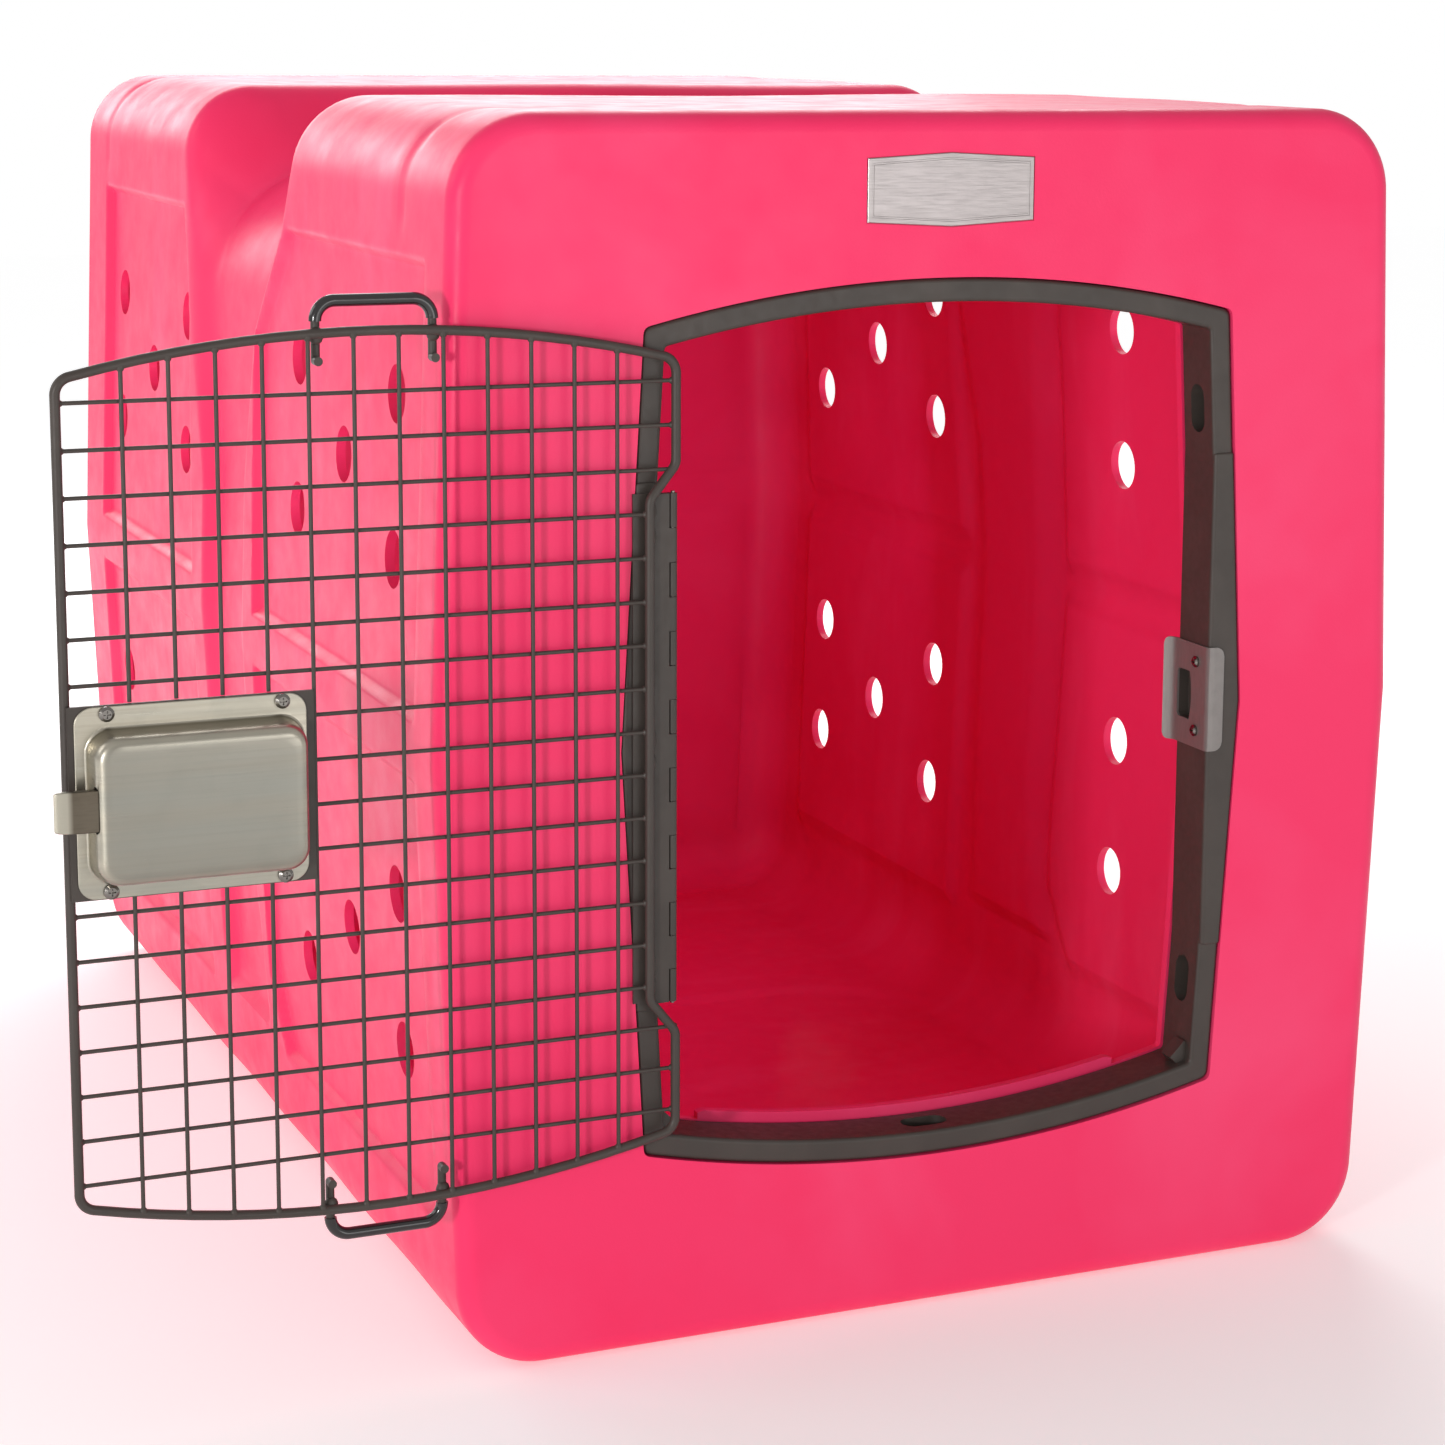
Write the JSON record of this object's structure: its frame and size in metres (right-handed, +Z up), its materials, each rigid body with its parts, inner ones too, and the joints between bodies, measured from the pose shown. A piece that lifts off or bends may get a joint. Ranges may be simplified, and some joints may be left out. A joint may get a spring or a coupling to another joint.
{
  "type": "pet transport carrier",
  "caption": "One-piece moulded pet kennel with side vents and a steel-framed wire door on a continuous hinge, shown swung open, closed by a sprung paddle latch.",
  "frame": {"origin": "middle of the shell's flat underside, on the floor", "axes": "X across the door, the door faces -Y, Z is up"},
  "size_m": [0.8548, 1.0145, 0.734],
  "materials": {
    "shell_plastic": "satin moulded polyethylene with faint flow streaks",
    "powder_coat": "warm dark grey powder coat, semi-matte",
    "dip_coat": "glossy dipped vinyl",
    "latch_steel": "brushed stainless steel",
    "bolt_steel": "plain milled steel",
    "plate_metal": "brushed, with an engraved border",
    "fastener_steel": "bright zinc or stainless",
    "paddle_black": "black powder coat",
    "lock_metal": "nickel plated"
  },
  "bodies": {
    "root": {"body_shell": "shell_plastic", "name_plate": "plate_metal", "frame_upper_tube": "powder_coat", "frame_lower_tube": "powder_coat", "frame_sleeve_left": "powder_coat", "frame_sleeve_right": "powder_coat", "frame_corner_pads": "powder_coat", "frame_screws": "fastener_steel", "strike_plate": "latch_steel", "strike_screws": "fastener_steel", "hinge_frame_leaf": "powder_coat", "hinge_pin": "fastener_steel"},
    "door": {"hinge_door_leaf": "powder_coat", "door_rim": "powder_coat", "mesh_vertical_wires": "powder_coat", "mesh_horizontal_wires": "powder_coat", "stop_loop_top": "powder_coat", "stop_loop_bottom": "powder_coat", "loop_sleeve_top": "dip_coat", "loop_sleeve_bottom": "dip_coat", "latch_back_plate": "powder_coat", "latch_cover": "latch_steel", "cover_screws": "fastener_steel", "paddle_tray": "latch_steel", "lock_barrel": "lock_metal", "lock_nut": "lock_metal", "paddle_pin": "fastener_steel", "paddle_spring": "fastener_steel", "bolt_spring": "fastener_steel"},
    "paddle": {"paddle": "paddle_black"},
    "latch_bolt": {"latch_bolt": "bolt_steel"},
    "lock_plug": {"lock_plug": "lock_metal"}
  },
  "joints": [
    {"name": "door_swing", "type": "hinge", "parent": "root", "child": "door", "pos_m": [-0.1758, -0.4925, 0.367], "axis": [0, 0, 1], "range_deg": [0, 180]},
    {"name": "paddle_turn", "type": "hinge", "parent": "door", "child": "paddle", "pos_m": [-0.4988, -0.503, 0.367], "axis": [0, 0, 1], "range_deg": [0, 35], "stiffness_Nm_per_rad": 0.3, "springref_deg": -17.19},
    {"name": "bolt_slide", "type": "slide", "parent": "door", "child": "latch_bolt", "axis": [1, 0, 0], "range_m": [0, 0.008], "deforming": ["bolt_spring"]},
    {"name": "lock_turn", "type": "hinge", "parent": "door", "child": "lock_plug", "pos_m": [-0.4188, -0.51, 0.345], "axis": [0, 1, 0], "range_deg": [0, 90]}
  ],
  "couplings": [
    {"joint": "bolt_slide", "follows": "paddle_turn", "m_per_rad": 0.01309}
  ]
}
